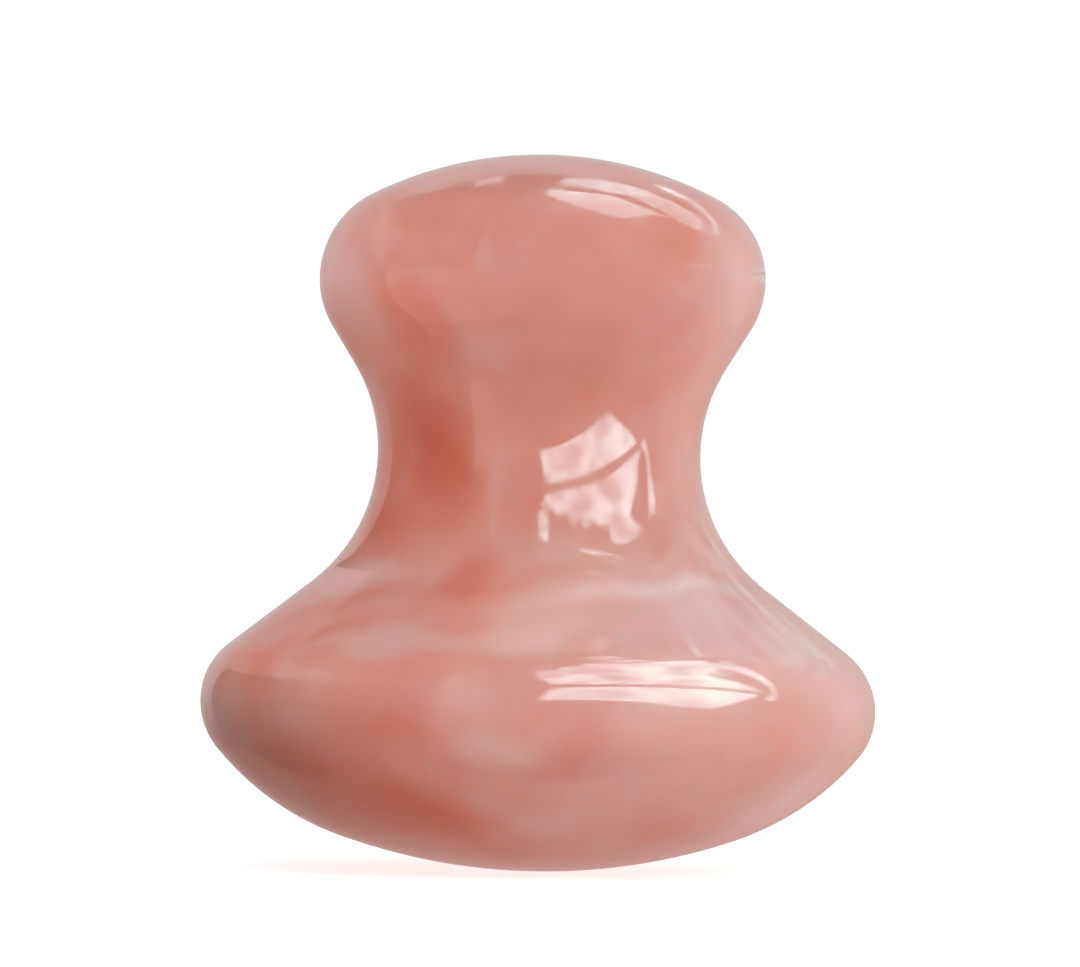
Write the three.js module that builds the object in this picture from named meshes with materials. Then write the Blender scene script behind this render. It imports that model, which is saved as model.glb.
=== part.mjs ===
// Mushroom-shaped massage stone, carved from one block and polished all over.
// A small domed cap presses on the skin, the waist is held between the fingers, and the
// wide domed base glides. It is a body of revolution about Z, in millimetres, +Z up, with
// the origin at the middle of the small flat that it rests on.

import * as THREE from "three";

// Widths are diameters, and heights are measured from the resting flat.
const stoneHeight = 40.25;
const capWidth = 25.1;
const waistWidth = 18.15;
const baseWidth = 38;
const restFlatWidth = 4.4;

const waistHeight = 23.45;

// Radii of the arcs that make the outline, from the top down.
const crownRadius = 21.2;
const capRimRadius = 5.27;
const waistHollowRadius = 9.32;
const baseRimRadius = 4.11;
const underRimRadius = 15.8;
const soleRadius = 34;

// The sole's arc gives way to the tighter arc under the rim where it slopes by this much.
const soleSlope = THREE.MathUtils.degToRad(19);

// Facets: how far an arc turns in one step, and how many steps go round the stone.
const arcStep = THREE.MathUtils.degToRad(7);
const stepsRound = 72;

const straightDown = -Math.PI / 2;
const straightUp = Math.PI / 2;

// A circle in the outline's plane: across is the distance from the axis, up the height.
function circle(across, up, radius) {
  return { across, up, radius };
}

// Height of the centre of a circle that touches a wider one from inside, above it or below.
function nestedHeight(wide, across, radius, side) {
  const rise = Math.sqrt((wide.radius - radius) ** 2 - (across - wide.across) ** 2);
  return wide.up + side * rise;
}

// Direction from a wide circle's centre to the place where a nested circle touches it.
function touchAngle(wide, nested) {
  return Math.atan2(nested.up - wide.up, nested.across - wide.across);
}

// The straight flank between a rounded rim and the hollow of the waist touches both. This
// is the direction from the rim's centre to the place where it touches the rim.
function flankAngle(rim, hollow, side) {
  const across = hollow.across - rim.across;
  const up = hollow.up - rim.up;
  const opening = Math.acos((rim.radius + hollow.radius) / Math.hypot(across, up));
  return Math.atan2(up, across) + side * opening;
}

function arcPoints(centre, start, end) {
  const steps = Math.ceil(Math.abs(end - start) / arcStep);
  return Array.from({ length: steps + 1 }, (_, step) => {
    const angle = THREE.MathUtils.lerp(start, end, step / steps);
    return new THREE.Vector2(
      centre.across + centre.radius * Math.cos(angle),
      centre.up + centre.radius * Math.sin(angle),
    );
  });
}

function baseCircles() {
  const flatRadius = restFlatWidth / 2;
  const sole = circle(0, Math.sqrt(soleRadius ** 2 - flatRadius ** 2), soleRadius);
  const inward = soleRadius - underRimRadius;
  const underRim = circle(
    inward * Math.sin(soleSlope),
    sole.up - inward * Math.cos(soleSlope),
    underRimRadius,
  );
  const across = baseWidth / 2 - baseRimRadius;
  const rimHeight = nestedHeight(underRim, across, baseRimRadius, -1);
  return { sole, underRim, rim: circle(across, rimHeight, baseRimRadius) };
}

function capCircles() {
  const crown = circle(0, stoneHeight - crownRadius, crownRadius);
  const across = capWidth / 2 - capRimRadius;
  const rimHeight = nestedHeight(crown, across, capRimRadius, 1);
  return { crown, rim: circle(across, rimHeight, capRimRadius) };
}

// The whole outline, from the middle of the resting flat up to the middle of the crown.
function stoneOutline() {
  const base = baseCircles();
  const hollow = circle(waistWidth / 2 + waistHollowRadius, waistHeight, waistHollowRadius);
  const cap = capCircles();

  const flatEdge = Math.atan2(-base.sole.up, restFlatWidth / 2);
  const soleEdge = straightDown + soleSlope;
  const underRimEdge = touchAngle(base.underRim, base.rim);
  const lowerFlank = flankAngle(base.rim, hollow, -1);
  const upperFlank = flankAngle(cap.rim, hollow, 1);
  const crownEdge = touchAngle(cap.crown, cap.rim);

  const arcs = [
    arcPoints(base.sole, flatEdge, soleEdge),
    arcPoints(base.underRim, soleEdge, underRimEdge),
    arcPoints(base.rim, underRimEdge, lowerFlank),
    arcPoints(hollow, lowerFlank + Math.PI, upperFlank + Math.PI),
    arcPoints(cap.rim, upperFlank, crownEdge),
    arcPoints(cap.crown, crownEdge, straightUp),
  ];

  // Arcs that touch share an end, which is kept once.
  const curve = arcs.flat();
  const outline = curve.filter((point, i) => i === 0 || point.distanceTo(curve[i - 1]) > 1e-6);
  outline.at(-1).x = 0;
  outline.unshift(new THREE.Vector2(0, 0));
  return outline;
}

function mushroomStone() {
  const geometry = new THREE.LatheGeometry(stoneOutline(), stepsRound);
  geometry.rotateX(Math.PI / 2);
  const material = new THREE.MeshStandardMaterial({
    color: 0xd09890,
    roughness: 0.12,
    metalness: 0,
  });
  const stone = new THREE.Mesh(geometry, material);
  stone.name = "mushroom_stone";
  return stone;
}

const massageStone = new THREE.Group();
massageStone.add(mushroomStone());

export default massageStone;
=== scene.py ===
import math

import bmesh
import bpy
from mathutils import Matrix, Vector, noise


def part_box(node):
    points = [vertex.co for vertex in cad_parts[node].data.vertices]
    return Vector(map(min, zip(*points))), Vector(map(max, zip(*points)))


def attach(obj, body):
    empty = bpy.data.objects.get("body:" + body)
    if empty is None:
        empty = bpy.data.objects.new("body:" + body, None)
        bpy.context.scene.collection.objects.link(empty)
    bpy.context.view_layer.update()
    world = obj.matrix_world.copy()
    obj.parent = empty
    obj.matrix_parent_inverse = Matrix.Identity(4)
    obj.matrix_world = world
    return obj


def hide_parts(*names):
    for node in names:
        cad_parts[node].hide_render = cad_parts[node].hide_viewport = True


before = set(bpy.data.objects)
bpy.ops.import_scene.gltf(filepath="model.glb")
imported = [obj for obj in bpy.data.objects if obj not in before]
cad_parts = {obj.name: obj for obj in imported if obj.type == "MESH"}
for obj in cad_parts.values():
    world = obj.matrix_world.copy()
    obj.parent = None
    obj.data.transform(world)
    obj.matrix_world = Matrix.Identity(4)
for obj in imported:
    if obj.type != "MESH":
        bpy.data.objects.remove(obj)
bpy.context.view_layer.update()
stoneLow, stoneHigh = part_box("mushroom_stone")
print("stage 1: frame loaded")

mm = 0.001  # every size in the dictionaries is in millimetres unless its note says otherwise
stoneHeight = (stoneHigh.z - stoneLow.z) / mm
baseWidth = (stoneHigh.x - stoneLow.x) / mm


def direction(azimuth, elevation):
    # a unit vector: azimuth 0 points at the camera, 90 to the right, elevation above the horizon, in degrees
    turn, lift = math.radians(azimuth), math.radians(elevation)
    return Vector((math.sin(turn) * math.cos(lift), -math.cos(turn) * math.cos(lift), math.sin(lift)))


def newObject(name, mesh):
    obj = bpy.data.objects.new(name, mesh)
    bpy.context.scene.collection.objects.link(obj)
    return obj


class Socket:
    # wraps a node's output so that shader maths reads as Python maths
    def __init__(self, tree, output):
        self.tree = tree
        self.output = output

    def math(self, operation, *others):
        values = {i: other for i, other in enumerate((self, *others))}
        return addNode(self.tree, "ShaderNodeMath", {"operation": operation}, values)

    def __add__(self, other):
        return self.math("ADD", other)

    __radd__ = __add__

    def __sub__(self, other):
        return self.math("SUBTRACT", other)

    def __rsub__(self, other):
        return self.math("MULTIPLY_ADD", -1, other)

    def __mul__(self, other):
        return self.math("MULTIPLY", other)

    __rmul__ = __mul__

    def atLeast(self, other):
        return self.math("MAXIMUM", other)


def addNode(tree, kind, settings=None, values=None, output=0):
    node = tree.nodes.new(kind)
    for setting, value in (settings or {}).items():
        if setting == "stops":
            setStops(node.color_ramp, value)
        else:
            setattr(node, setting, value)
    for name, value in (values or {}).items():
        if isinstance(value, Socket):
            tree.links.new(value.output, node.inputs[name])
        else:
            node.inputs[name].default_value = value
    return Socket(tree, node.outputs[output]) if node.outputs else None


def setStops(colourRamp, stops):
    while len(colourRamp.elements) < len(stops):
        colourRamp.elements.new(1)
    for element, (position, colour) in zip(colourRamp.elements, stops):
        element.position = position
        element.color = colour


def ramp(value, low, high, bottom=0.0, top=1.0):
    # bottom where value is under low, top where it is over high, and a soft S between
    settings = {"interpolation_type": "SMOOTHSTEP", "clamp": True}
    values = {"Value": value, "From Min": low, "From Max": high, "To Min": bottom, "To Max": top}
    return addNode(value.tree, "ShaderNodeMapRange", settings, values)


def mixColour(amount, first, second):
    # inputs 6 and 7 of a colour Mix are its A and B
    return addNode(amount.tree, "ShaderNodeMix", {"data_type": "RGBA"}, {0: amount, 6: first, 7: second}, 2)


def vectorMath(operation, *vectors, output=0):
    values = dict(enumerate(vectors))
    return addNode(vectors[0].tree, "ShaderNodeVectorMath", {"operation": operation}, values, output)


def newMaterial(name):
    material = bpy.data.materials.new(name)
    material.use_nodes = True
    material.node_tree.nodes.clear()
    return material


# The camera looks straight at the stone's side from far off, a little rolled because the stone leans.
cameraSetup = {
    "distance": 500,
    "pictureWidth": 60.8,  # width of the view at the stone's axis
    "aimHeight": 21.74,
    "roll": 0.89,  # degrees
    "sensorWidth": 36,
}


def makeCamera(setup):
    data = bpy.data.cameras.new("camera")
    data.sensor_width = setup["sensorWidth"]
    data.lens = setup["sensorWidth"] * setup["distance"] / setup["pictureWidth"]
    data.clip_start = 0.01
    data.clip_end = 20
    camera = newObject("camera", data)
    place = Matrix.Translation((0, -setup["distance"] * mm, setup["aimHeight"] * mm))
    roll = Matrix.Rotation(math.radians(setup["roll"]), 4, "Z")
    camera.matrix_world = place @ Matrix.Rotation(math.pi / 2, 4, "X") @ roll
    bpy.context.scene.camera = camera


makeCamera(cameraSetup)
print("stage 2: camera placed")


# The outline is a chain of arcs that touch one another, as in the solid model.
stoneShape = {
    "crownRadius": 21.2,
    "capWidth": 25.1,
    "capRimRadius": 5.27,
    "waistWidth": 18.15,
    "waistHeight": 23.45,
    "waistHollowRadius": 9.32,
    "baseRimRadius": 4.11,
    "underRimRadius": 15.8,
    "soleRadius": 34,
    "soleSlope": 19,  # degrees
    "restFlatWidth": 4.4,
    "arcStep": 1.4,  # degrees that the outline turns from one ring to the next
    "stepsRound": 256,
}


def circle(across, up, radius):
    return {"across": across, "up": up, "radius": radius}


def nestedHeight(wide, across, radius, side):
    rise = math.sqrt((wide["radius"] - radius) ** 2 - (across - wide["across"]) ** 2)
    return wide["up"] + side * rise


def touchAngle(wide, nested):
    return math.atan2(nested["up"] - wide["up"], nested["across"] - wide["across"])


def flankAngle(rim, hollow, side):
    across, up = hollow["across"] - rim["across"], hollow["up"] - rim["up"]
    opening = math.acos((rim["radius"] + hollow["radius"]) / math.hypot(across, up))
    return math.atan2(up, across) + side * opening


def arcPoints(centre, start, end, step):
    count = math.ceil(abs(end - start) / math.radians(step))
    angles = [start + (end - start) * i / count for i in range(count + 1)]
    radius = centre["radius"]
    return [(centre["across"] + radius * math.cos(a), centre["up"] + radius * math.sin(a)) for a in angles]


def stoneOutline(shape):
    flatRadius = shape["restFlatWidth"] / 2
    sole = circle(0, math.sqrt(shape["soleRadius"] ** 2 - flatRadius ** 2), shape["soleRadius"])
    slope = math.radians(shape["soleSlope"])
    inward = shape["soleRadius"] - shape["underRimRadius"]
    underUp = sole["up"] - inward * math.cos(slope)
    underRim = circle(inward * math.sin(slope), underUp, shape["underRimRadius"])
    across = baseWidth / 2 - shape["baseRimRadius"]
    baseRimUp = nestedHeight(underRim, across, shape["baseRimRadius"], -1)
    baseRim = circle(across, baseRimUp, shape["baseRimRadius"])
    hollowRadius = shape["waistHollowRadius"]
    hollow = circle(shape["waistWidth"] / 2 + hollowRadius, shape["waistHeight"], hollowRadius)
    crown = circle(0, stoneHeight - shape["crownRadius"], shape["crownRadius"])
    across = shape["capWidth"] / 2 - shape["capRimRadius"]
    capRim = circle(across, nestedHeight(crown, across, shape["capRimRadius"], 1), shape["capRimRadius"])

    soleEdge = slope - math.pi / 2
    underRimEdge = touchAngle(underRim, baseRim)
    lowerFlank, upperFlank = flankAngle(baseRim, hollow, -1), flankAngle(capRim, hollow, 1)
    crownEdge = touchAngle(crown, capRim)
    arcs = [
        (sole, math.atan2(-sole["up"], flatRadius), soleEdge),
        (underRim, soleEdge, underRimEdge),
        (baseRim, underRimEdge, lowerFlank),
        (hollow, lowerFlank + math.pi, upperFlank + math.pi),
        (capRim, upperFlank, crownEdge),
        (crown, crownEdge, math.pi / 2),
    ]
    outline = [(0, 0)]
    for centre, start, end in arcs:
        for point in arcPoints(centre, start, end, shape["arcStep"]):
            if math.dist(point, outline[-1]) > 1e-6:
                outline.append(point)
    return outline


# Grinding by hand leaves the stone a little out of true and its polish faintly wavy.
handWork = {
    "baseShift": 0.13,  # the base's underside stands to the right of the axis, and the neck to the left
    "neckShift": -0.07,
    "waveHeight": 0.018,
    "waveLength": 9,
}


def smooth(value, low, high):
    t = min(max((value - low) / (high - low), 0), 1)
    return t * t * (3 - 2 * t)


def handFinish(bm, work):
    bm.normal_update()
    for vertex in bm.verts:
        up = vertex.co.z / mm
        lean = work["baseShift"] * (1 - smooth(up, 5, 14))
        lean += work["neckShift"] * smooth(up, 9, 16) * (1 - smooth(up, 30, 36))
        wave = noise.noise(vertex.co / mm / work["waveLength"]) * work["waveHeight"]
        wave *= smooth(up, 0.2, 2)
        vertex.co += vertex.normal * wave * mm
        vertex.co.x += lean * mm


def makeStone(shape):
    bm = bmesh.new()
    points = [bm.verts.new((across * mm, 0, up * mm)) for across, up in stoneOutline(shape)]
    points[-1].co.x = 0
    edges = [bm.edges.new(pair) for pair in zip(points, points[1:])]
    bmesh.ops.spin(
        bm, geom=points + edges, cent=(0, 0, 0), axis=(0, 0, 1), angle=2 * math.pi,
        steps=shape["stepsRound"], use_merge=True, use_duplicate=False,
    )
    bmesh.ops.remove_doubles(bm, verts=bm.verts, dist=1e-7)
    bmesh.ops.recalc_face_normals(bm, faces=bm.faces)
    handFinish(bm, handWork)
    mesh = bpy.data.meshes.new("mushroomStone")
    bm.to_mesh(mesh)
    bm.free()
    mesh.polygons.foreach_set("use_smooth", [True] * len(mesh.polygons))
    return newObject("mushroomStone", mesh)


stone = makeStone(stoneShape)
print("stage 3: stone turned,", len(stone.data.polygons), "faces")


# Rose quartz: a pink body with milky veils and deep red hollows, and some painted light and shade in it: the
# deeper red low down and on the left is partly painted shade, and the paler right side, the rims and the
# patch under the base's window highlight are partly painted light. Colours are linear. Each cloud has a
# place, a reach along x, y and z, a turn in degrees and a pull, which is over 0 where it is paler (milk, and
# in places painted light) and under 0 where it is deeper red (deep colour, and in places painted shade).
quartzLook = {
    "tones": [
        (0.00, (0.68, 0.145, 0.088, 1)),
        (0.25, (0.75, 0.245, 0.178, 1)),
        (0.50, (0.79, 0.360, 0.300, 1)),
        (0.75, (0.83, 0.500, 0.460, 1)),
        (1.00, (0.89, 0.650, 0.615, 1)),
    ],
    "clouds": [
        # the red heart of the neck, from the cap's left down to the shoulder: partly deep colour, partly
        # painted shade under the cap's left side
        ((-6.2, -7.0, 23.6), (4.0, 6.0, 8.0), (0, -17, 0), -0.9),
        ((-7.0, -8.0, 31.0), (2.5, 6.0, 5.0), (0, -25, 0), -0.5),
        ((-8.3, -5.5, 18.8), (3.0, 5.0, 3.0), (0, 30, 0), -0.5),
        ((-8.5, -2.5, 22.0), (2.5, 5.0, 6.0), (0, 0, 0), -0.6),
        ((1.5, -8.5, 27.0), (8.0, 5.0, 4.5), (0, 0, 0), -0.3),
        ((-3.2, -9.0, 29.6), (4.0, 5.0, 5.0), (0, -20, 0), 0.15),
        ((-4.2, -12.0, 16.8), (1.5, 4.0, 3.4), (0, 48, 0), -0.5),
        # deep hollows low in the base: partly deep colour, partly painted shade low down and on the left,
        # away from the light
        ((-14.0, -10.0, 6.0), (7.0, 8.0, 5.5), (0, 0, 0), -0.5),
        ((-9.0, -15.5, 8.4), (5.0, 6.0, 3.0), (0, 0, 0), -0.5),
        ((-9.5, -13.0, 5.0), (9.0, 6.0, 3.6), (0, 14, 0), -0.6),
        ((-5.8, -13.0, 3.4), (5.0, 6.0, 2.8), (0, 14, 0), -0.3),
        ((2.5, -16.5, 7.0), (4.5, 5.0, 2.4), (0, 0, 0), -0.15),
        ((-8.0, -10.0, 1.5), (13.0, 9.0, 4.5), (0, 0, 0), -0.5),
        ((2.5, -9.0, 0.5), (12.0, 9.0, 3.5), (0, 0, 0), -0.45),
        ((-14.0, -8.0, 13.0), (9.0, 9.0, 5.0), (0, 0, 0), -0.65),
        ((8.0, -10.0, 2.8), (5.5, 5.0, 2.2), (0, 0, 0), -0.35),
        # veils across the shoulder, which rise to the right
        ((-10.5, -7.0, 15.8), (7.0, 6.0, 1.2), (0, -14, 0), 0.4),
        ((-13.0, -10.0, 13.6), (9.0, 8.0, 1.0), (0, -9, 0), 0.4),
        ((-9.0, -13.0, 12.6), (9.0, 7.0, 0.9), (0, -2, 0), 0.4),
        ((-1.0, -15.0, 13.4), (7.0, 6.0, 1.5), (0, -8, 0), 0.75),
        ((1.0, -13.5, 15.6), (8.0, 6.0, 1.8), (0, -11, 0), 0.6),
        ((3.0, -12.0, 18.6), (7.0, 5.0, 2.2), (0, -6, 0), 0.4),
        ((6.0, -12.0, 16.0), (7.0, 6.0, 1.2), (0, -10, 0), 0.4),
        ((9.5, -9.0, 16.4), (4.5, 5.0, 1.0), (0, 0, 0), 0.5),
        # the milky right side: partly milk, partly painted light on the lit right side, and a painted glow
        # under the base's window highlight
        ((8.0, -11.0, 13.5), (12.0, 10.0, 6.5), (0, 0, 0), 0.7),
        ((13.5, -8.0, 4.2), (5.5, 7.0, 3.5), (0, 0, 0), 0.4),
        ((17.0, -7.0, 9.0), (7.0, 9.0, 9.0), (0, 0, 0), 0.6),
        ((8.0, -15.0, 9.0), (8.0, 6.0, 5.0), (0, 0, 0), 0.6),
        ((6.5, -16.0, 10.5), (7.0, 6.0, 3.2), (0, 0, 0), 0.4),
        ((10.0, -5.0, 24.0), (4.0, 8.0, 12.0), (0, 0, 0), 0.4),
        ((11.5, -6.0, 33.5), (5.5, 9.0, 8.0), (0, 10, 0), 0.6),
        # the pale tongue that hangs from the veils
        ((-4.0, -17.0, 9.8), (2.4, 5.0, 4.6), (0, -14, 0), 0.4),
        ((-2.2, -17.0, 7.4), (3.4, 5.0, 2.0), (0, 8, 0), 0.55),
        ((-1.0, -17.0, 10.0), (4.5, 5.0, 5.0), (0, 0, 0), 0.3),
        # thin milk at the cap's left rim and along the base's left edge, partly a painted sheen at the rims
        ((-11.5, -5.0, 32.6), (3.0, 7.0, 4.0), (0, 0, 0), 0.15),
        ((-19.0, -2.0, 11.5), (3.5, 8.0, 3.0), (0, 0, 0), 0.2),
        # the back and the far sides, in the same style
        ((5.0, 7.5, 22.5), (4.0, 6.0, 8.0), (0, 10, 0), -0.8),
        ((-4.0, 9.0, 30.0), (6.0, 5.0, 5.0), (0, 20, 0), -0.4),
        ((12.0, 12.0, 7.0), (8.0, 7.0, 4.5), (0, -14, 0), -0.6),
        ((-6.0, 15.0, 4.6), (7.0, 6.0, 2.8), (0, 12, 0), -0.5),
        ((4.0, 13.0, 14.8), (9.0, 6.0, 1.4), (0, 12, 0), 0.65),
        ((-8.0, 13.0, 12.8), (9.0, 7.0, 1.3), (0, -9, 0), 0.6),
        ((-3.0, 14.5, 9.0), (2.8, 5.0, 4.2), (0, 16, 0), 0.5),
        ((-12.0, 8.0, 9.0), (8.0, 8.0, 5.0), (0, 0, 0), 0.4),
        ((-7.0, 4.0, 35.0), (6.0, 7.0, 4.5), (0, 0, 0), 0.5),
    ],
    "swirl": ((7.0, 1.4), (2.2, 0.35)),  # length and strength of each warp
    "mottle": ((8.0, 0.35), (3.0, 0.18)),  # length and strength of each mottle
    "driftLength": 6.0,
    "warmDrift": (1.01, 1.0, 0.96, 1),
    "coolDrift": (0.99, 1.0, 1.01, 1),
    "roughness": (0.07, 0.13),
    "rippleLength": 2.8,
    "rippleHeight": 0.012,
    "scatterDepth": 2.5,
    "scatterColours": (1.6, 0.45, 0.35),  # how much further red light travels than green and blue
    "noiseSpan": (0.35, 0.65),  # the middle part of a noise that is stretched over a drift
    "polishScale": 0.9,
    "ior": 1.54,
}


def makeQuartz(look):
    material = newMaterial("roseQuartz")
    tree = material.node_tree
    metres = addNode(tree, "ShaderNodeTexCoord", output=3)
    place = vectorMath("MULTIPLY", metres, (1 / mm, 1 / mm, 1 / mm))
    for length, strength in look["swirl"]:
        values = {"Vector": place, "Scale": 1 / length, "Detail": 1}
        swirl = addNode(tree, "ShaderNodeTexNoise", None, values, 1)
        shift = vectorMath("MULTIPLY_ADD", swirl, (2 * strength,) * 3, (-strength,) * 3)
        place = vectorMath("ADD", place, shift)

    # the tone's mix: milk and deep colour, with painted light and painted shade from some of the clouds
    milkAndPaintedLight = 0
    for centre, reach, turn, pull in look["clouds"]:
        turned = [math.radians(angle) for angle in turn]
        values = {"Vector": place, "Location": centre, "Scale": reach, "Rotation": turned}
        inside = addNode(tree, "ShaderNodeMapping", {"vector_type": "TEXTURE"}, values)
        milkAndPaintedLight = ramp(vectorMath("LENGTH", inside, output=1), 0, 1, pull, 0) + milkAndPaintedLight
    for length, strength in look["mottle"]:
        values = {"Vector": place, "Scale": 1 / length, "Detail": 2}
        mottle = addNode(tree, "ShaderNodeTexNoise", None, values)
        milkAndPaintedLight = (mottle - 0.5) * (2 * strength) + milkAndPaintedLight
    tone = addNode(tree, "ShaderNodeValToRGB", {"stops": look["tones"]}, {"Fac": milkAndPaintedLight * 0.5 + 0.5})
    values = {"Vector": place, "Scale": 1 / look["driftLength"], "Detail": 2}
    drift = ramp(addNode(tree, "ShaderNodeTexNoise", None, values), *look["noiseSpan"])
    tone = vectorMath("MULTIPLY", tone, mixColour(drift, look["warmDrift"], look["coolDrift"]))

    values = {"Vector": place, "Scale": look["polishScale"], "Detail": 2}
    polish = addNode(tree, "ShaderNodeTexNoise", None, values)
    polish = ramp(polish, *look["noiseSpan"], *look["roughness"])
    values = {"Vector": place, "Scale": 1 / look["rippleLength"], "Detail": 1}
    ripple = addNode(tree, "ShaderNodeTexNoise", None, values)
    normal = addNode(tree, "ShaderNodeBump", None, {"Height": ripple, "Distance": look["rippleHeight"] * mm})
    values = {
        "Base Color": tone, "Roughness": polish, "Normal": normal, "IOR": look["ior"],
        "Subsurface Weight": 1.0, "Subsurface Radius": look["scatterColours"],
        "Subsurface Scale": look["scatterDepth"] * mm,
    }
    shader = addNode(tree, "ShaderNodeBsdfPrincipled", {"subsurface_method": "RANDOM_WALK"}, values)
    addNode(tree, "ShaderNodeOutputMaterial", None, {"Surface": shader})
    return material


stone.data.materials.append(makeQuartz(quartzLook))
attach(stone, "root")
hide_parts("mushroom_stone")
print("stage 4: quartz made")


# The studio. Panels glow only in the polish, and soft light falls on the stone from the room itself.
studio = {
    "floorSize": 3000,
    "floorCloth": (0.8, 0.8, 0.8, 1),
    "floorGlow": 0.7,
    "keyAzimuth": 80,
    "keyDistance": 350,
    "keySize": 300,
    "keyPower": 0.15,  # watts
    "farPanel": 400,
    "panelTint": (0.71, 0.99, 1, 1),
    "glowPatch": 9,  # a panel's glow is a little uneven, in patches of this size
    "glowRange": (0.5, 1.3),
    "windowLeft": (0.3, -55),  # the window stands upright between these two places
    "windowRight": (40, -11),
    "windowTopHeight": 40,
    "ceilingHeight": 420,
    "baseRim": (12.5, -13.8, 11),  # the place on the base that sees the window's edge
    "windowEdgeReach": 34,
    "hookFlagReach": 60,
}


def aim(start, azimuth, elevation, reach):
    return Vector(start) + direction(azimuth, elevation) * reach


def far(azimuth, elevation):
    return aim((0, 0, stoneHeight / 2), azimuth, elevation, studio["farPanel"])


def onWindow(along, height):
    left, right = Vector(studio["windowLeft"]), Vector(studio["windowRight"])
    return (*left.lerp(right, along), height)


def onWindowTop(across, depth):
    return (across, depth, studio["windowTopHeight"])


def onCeiling(across, depth):
    return (across, depth, studio["ceilingHeight"])


def onWindowEdge(azimuth, elevation):
    return aim(studio["baseRim"], azimuth, elevation, studio["windowEdgeReach"])


def onHookFlag(azimuth, elevation):
    return aim(studio["baseRim"], azimuth, elevation, studio["hookFlagReach"])


def around(radius, azimuth, height):
    place = direction(azimuth, 0) * radius
    return (place.x, place.y, height)


def strip(lower, upper):
    # four-cornered pieces between two rows of places
    return [[lower[i], lower[i + 1], upper[i + 1], upper[i]] for i in range(len(lower) - 1)]


def ring(radius, azimuths, heights):
    # a row of places round the axis, at one height or at a height for every azimuth
    if not isinstance(heights, tuple):
        heights = (heights,) * len(azimuths)
    return [around(radius, azimuth, height) for azimuth, height in zip(azimuths, heights)]


def curtain(radius, azimuths, lows, highs):
    # an upright strip round the axis
    return strip(ring(radius, azimuths, lows), ring(radius, azimuths, highs))


def shelf(height, inner, outer, azimuths):
    # a level strip round the axis between two radii
    return strip(ring(inner, azimuths, height), ring(outer, azimuths, height))


def glowMaterial(name, strength):
    material = newMaterial(name)
    tree = material.node_tree
    metres = addNode(tree, "ShaderNodeTexCoord", output=3)
    values = {"Vector": metres, "Scale": 1 / (studio["glowPatch"] * mm), "Detail": 2}
    patch = ramp(addNode(tree, "ShaderNodeTexNoise", None, values), 0.3, 0.7, *studio["glowRange"])
    values = {"Color": studio["panelTint"], "Strength": patch * strength}
    glow = addNode(tree, "ShaderNodeEmission", None, values)
    addNode(tree, "ShaderNodeOutputMaterial", None, {"Surface": glow})
    return material


def hideFrom(obj, *rays):
    for ray in rays:
        setattr(obj, "visible_" + ray, False)


def makePanel(name, outlines, strength, softLight=False):
    # each outline is a list of corners; with softLight the panel acts on soft light and not in the polish
    bm = bmesh.new()
    for outline in outlines:
        bm.faces.new([bm.verts.new(Vector(corner) * mm) for corner in outline])
    bmesh.ops.triangulate(bm, faces=bm.faces)
    mesh = bpy.data.meshes.new(name)
    bm.to_mesh(mesh)
    bm.free()
    panel = newObject(name, mesh)
    mesh.materials.append(glowMaterial(name, strength))
    hideFrom(panel, "camera", "transmission", "volume_scatter")
    hideFrom(panel, *(("glossy",) if softLight else ("diffuse", "shadow")))


def makeKeyLamp():
    data = bpy.data.lights.new("keyLamp", "AREA")
    data.shape = "SQUARE"
    data.size = studio["keySize"] * mm
    data.energy = studio["keyPower"]
    lamp = newObject("keyLamp", data)
    towards = direction(studio["keyAzimuth"], 0)
    lamp.location = towards * studio["keyDistance"] * mm + Vector((0, 0, stoneHeight / 2 * mm))
    lamp.rotation_euler = towards.to_track_quat("Z", "Y").to_euler()
    hideFrom(lamp, "camera", "glossy")


def makeFloor():
    bm = bmesh.new()
    bmesh.ops.create_grid(bm, x_segments=1, y_segments=1, size=studio["floorSize"] / 2 * mm)
    mesh = bpy.data.meshes.new("floor")
    bm.to_mesh(mesh)
    bm.free()
    floor = newObject("floor", mesh)
    material = newMaterial("paleFloor")
    tree = material.node_tree
    cloth = addNode(tree, "ShaderNodeBsdfDiffuse", None, {"Color": studio["floorCloth"]})
    glow = addNode(tree, "ShaderNodeEmission", None, {"Strength": studio["floorGlow"]})
    both = addNode(tree, "ShaderNodeAddShader", None, {0: cloth, 1: glow})
    addNode(tree, "ShaderNodeOutputMaterial", None, {"Surface": both})
    mesh.materials.append(material)
    hideFrom(floor, "diffuse", "glossy", "shadow")


# The room, as brightness by direction: what the camera sees, what the polish sees, and the soft fill.
room = {
    "seenByCamera": 1.05,
    "unlit": 0.06,
    "backdrop": (0.5, 0.55),  # on the left and on the right
    "backdropLowLoss": (0.4, -0.15),  # what its lower part loses, on the left and on the right
    "rightWall": 0.12,
    "leftWall": (1.5, 0.4),  # from its far left to the middle of the front
    "leftWallAbove": 0.35,
    "ceiling": 0.12,
    "fill": (0.585, 0.74),  # from below and from above
    "fillSides": (-0.06, 0.05),  # added on the left and on the right
    "fillFront": 0.15,
    "fillLowLeftLoss": 0.15,
    "fillLeftBand": 0.3,
    "tableTint": (1, 0.62, 0.57, 1),  # the table gives back the stone's own pink
}


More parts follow.
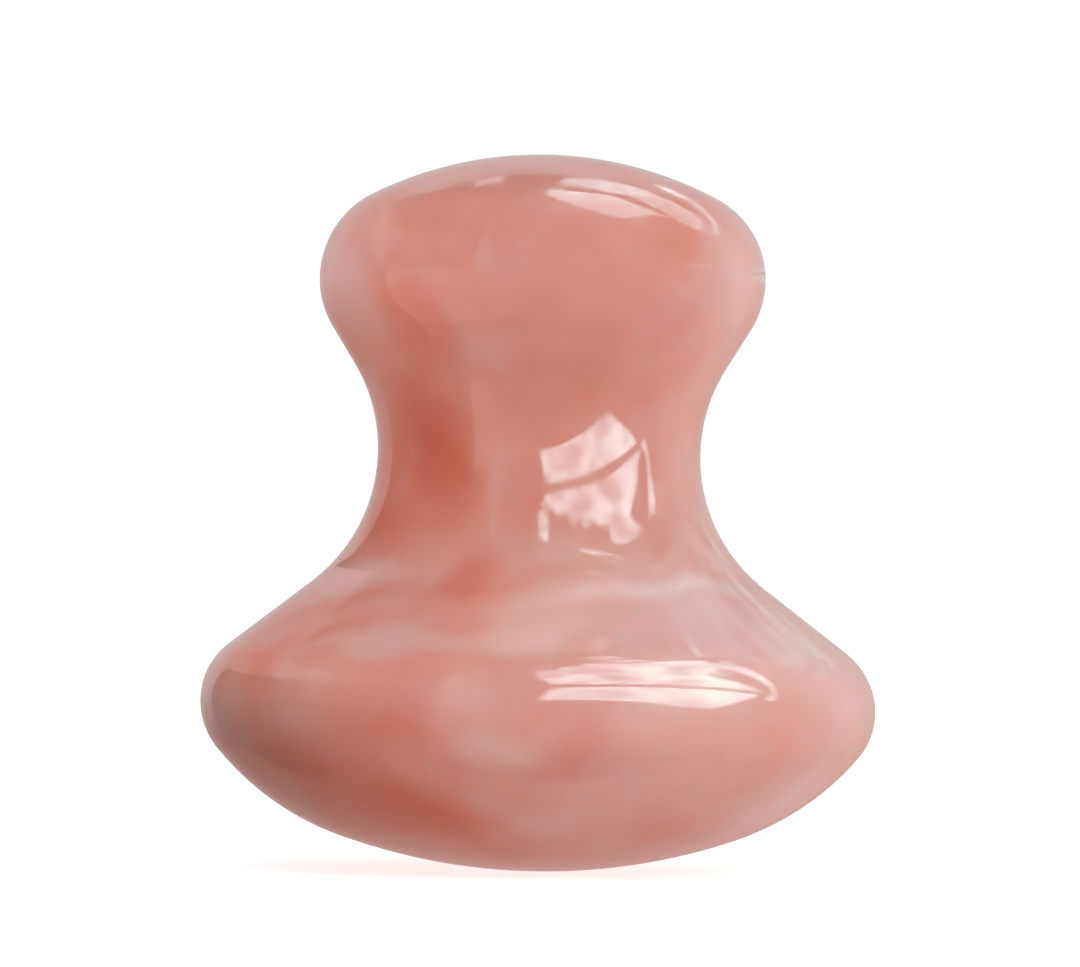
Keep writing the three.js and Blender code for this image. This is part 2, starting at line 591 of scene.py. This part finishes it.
def makeRoom(look):
    world = bpy.data.worlds.new("studio")
    bpy.context.scene.world = world
    world.use_nodes = True
    tree = world.node_tree
    tree.nodes.clear()
    isCamera = addNode(tree, "ShaderNodeLightPath", output=0)
    isGlossy = addNode(tree, "ShaderNodeLightPath", output=3)
    way = addNode(tree, "ShaderNodeTexCoord", output=0)
    side = addNode(tree, "ShaderNodeSeparateXYZ", None, {0: way}, 0)
    back = addNode(tree, "ShaderNodeSeparateXYZ", None, {0: way}, 1)
    up = addNode(tree, "ShaderNodeSeparateXYZ", None, {0: way}, 2)

    behind = ramp(back, 0.0, 0.08) * ramp(up, 0.60, 0.66, 1, 0)
    backdrop = behind * ramp(side, -0.3, 0.3, *look["backdrop"])
    backdrop = backdrop * (1 - ramp(up, -0.3, 0, 1, 0) * ramp(side, -0.5, 0.2, *look["backdropLowLoss"]))
    rightWall = behind * ramp(up, -0.75, -0.65) * ramp(side, 0.5, 0.8, 0, look["rightWall"])
    leftWall = ramp(back - (up - 0.12).atLeast(0) * 1.2, -0.06, 0.02, 1, 0)
    leftWall = leftWall * ramp(side, -0.95, -0.1, *look["leftWall"])
    leftWall = leftWall * ramp(up, 0.0, 0.3, 1, look["leftWallAbove"])
    leftWall = leftWall * ramp(up, 0.6, 0.8, 1, 0) * ramp(up, -0.85, -0.75)
    shine = look["unlit"] + backdrop + rightWall + leftWall + ramp(up, 0.86, 0.9) * look["ceiling"]

    fill = ramp(up, -0.9, 0.9, *look["fill"]) + ramp(side, -0.9, 0.9, *look["fillSides"])
    fill = fill + ramp(back, -0.9, 0.3, look["fillFront"], 0)
    fill = fill - ramp(side, -0.9, 0.2, look["fillLowLeftLoss"], 0) * ramp(up, -0.4, 0.3, 1, 0)
    leftBand = ramp(side, -0.9, 0, look["fillLeftBand"], 0) * ramp(up, -0.5, -0.1) * ramp(up, 0.2, 0.7, 1, 0)
    strength = isGlossy * shine + (1 - isGlossy) * (fill + leftBand)
    strength = isCamera * look["seenByCamera"] + (1 - isCamera) * strength
    tint = mixColour(isGlossy * ramp(up, -0.2, 0.1, 1, 0), (1, 1, 1, 1), look["tableTint"])
    glow = addNode(tree, "ShaderNodeBackground", None, {"Color": tint, "Strength": strength})
    addNode(tree, "ShaderNodeOutputWorld", None, {"Surface": glow})


# Flat panels: strength, the surface that they lie on, and the corners of each outline on it.
flatPanels = {
    # the window in front to the right, in two panes with a dark bar between them
    "windowPanes": (8.5, onWindow, [
        [
            (0.01, 23), (0.25, 21), (0.4, 19.6), (0.46, 17.5), (0.55, 14.5), (0.66, 12.5), (0.75, 16),
            (0.83, 18.5), (0.88, 21), (0.09, 38), (0.05, 31),
        ],
        [
            (0, 60), (0.05, 57), (0.08, 44), (0.3, 37.5), (0.92, 22.5), (0.9, 28), (0.85, 38), (0.82, 60),
            (0.78, 95), (0, 95),
        ],
    ]),
    "windowTop": (7.5, onWindowTop, [
        [
            (0.5, -38), (3.7, -26.2), (9.7, -16.5), (17, -10.5), (22, -5.5), (30, -10), (32, -18), (24, -30),
            (12, -38),
        ],
    ]),
    "capGlint": (1.2, far, [[(-170, 42), (-174, 41), (-173, 47), (-167, 47)]]),
    "ceilingPanel": (0.8, onCeiling, [[(3, -260), (300, -260), (300, 80), (3, 80)]]),
}

# Folded panels: strength, where they lie, and their two long edges as azimuths and elevations.
foldedPanels = {
    "windowEdge": (
        6, onWindowEdge,
        ((89, 13), (96, 21), (102, 31), (108, 41), (115, 48), (121, 54), (128, 59)),
        ((86, 17), (92, 22), (95, 27), (98, 36), (101, 45), (103, 52), (106, 58)),
    ),
    "capLightUpper": (
        2.8, far,
        ((177, 45), (173, 43), (170, 41), (166, 40), (157, 44), (142, 45), (130, 41), (121, 38)),
        ((177, 50), (170, 50), (160, 52), (146, 56), (132, 57), (117, 52), (108, 44), (105, 39)),
    ),
    "capLightLower": (
        4.2, far,
        ((179, 54), (175, 54), (162, 56), (149, 60), (133, 61), (119, 57), (109, 50), (105, 43)),
        ((178, 66), (165, 76), (112, 80), (80, 71), (75, 60), (80, 49), (92, 42), (101, 38)),
    ),
    "capLightEdge": (
        2.4, far,
        ((169, 31), (167, 30), (160, 34), (146, 36), (133, 33), (121, 30)),
        ((168, 33), (166, 34), (158, 37), (143, 39), (131, 36), (118, 34)),
    ),
    "leftWindow": (
        1.3, far,
        ((-34, 4), (-37, 20), (-37, 36), (-41, 56)),
        ((-26, 6), (-24, 20), (-31, 36), (-36, 56)),
    ),
    "hookFlag": (
        0.1, onHookFlag,
        ((84, 12), (98, 22), (110, 34), (120, 46), (126, 54)),
        ((70, 26), (76, 34), (84, 42), (92, 49), (100, 56)),
    ),
}

# Flags stand round the axis and keep a light off some part of the stone: a dim glow, the radius,
# the azimuths, and the low and high edges, each one height or one for every azimuth.
flags = {
    "capFlag": (0.2, 13.6, (-5, 5, 15, 25, 35, 36, 45, 55), 29, (47, 47, 47, 47, 47, 38, 38, 38)),
    "waistFlag": (
        0.4, 20, (6, 10, 16, 20, 24, 27, 31, 36, 41, 45, 50, 56, 62, 68, 80),
        (28.5, 29.5, 29.2, 31.6, 29.8, 32, 29.8, 30.6, 30, 34, 34.5, 33, 29, 27, 27), 60,
    ),
    "neckFlag": (0.1, 12, range(-86, -28, 8), 17.5, 26),
    "baseFlag": (0.15, 23, range(-96, -4, 10), -14, 14),
}
shadeCard = (0.42, 28, range(-150, -34, 10), -30, 11)  # low on the left, and only holds back soft light
shoulderFlag = {
    "glow": 0.9,
    "height": 34,
    "inner": (12.4, 17, range(38, 199, 8)),  # two radii and the azimuths between them
    "outer": (17, 60, range(80, 201, 8)),
}

makeRoom(room)
makeFloor()
makeKeyLamp()
for name, (strength, place, outlines) in flatPanels.items():
    makePanel(name, [[place(*corner) for corner in outline] for outline in outlines], strength)
for name, (strength, place, lower, upper) in foldedPanels.items():
    makePanel(name, strip([place(*way) for way in lower], [place(*way) for way in upper]), strength)
for name, (strength, *edges) in flags.items():
    makePanel(name, curtain(*edges), strength)
makePanel("shadeCard", curtain(*shadeCard[1:]), shadeCard[0], softLight=True)
shelves = [shelf(shoulderFlag["height"], *shoulderFlag[part]) for part in ("inner", "outer")]
makePanel("shoulderFlag", shelves[0] + shelves[1], shoulderFlag["glow"])
print("stage 5: studio lit")

bpy.context.scene.view_settings.view_transform = "Standard"
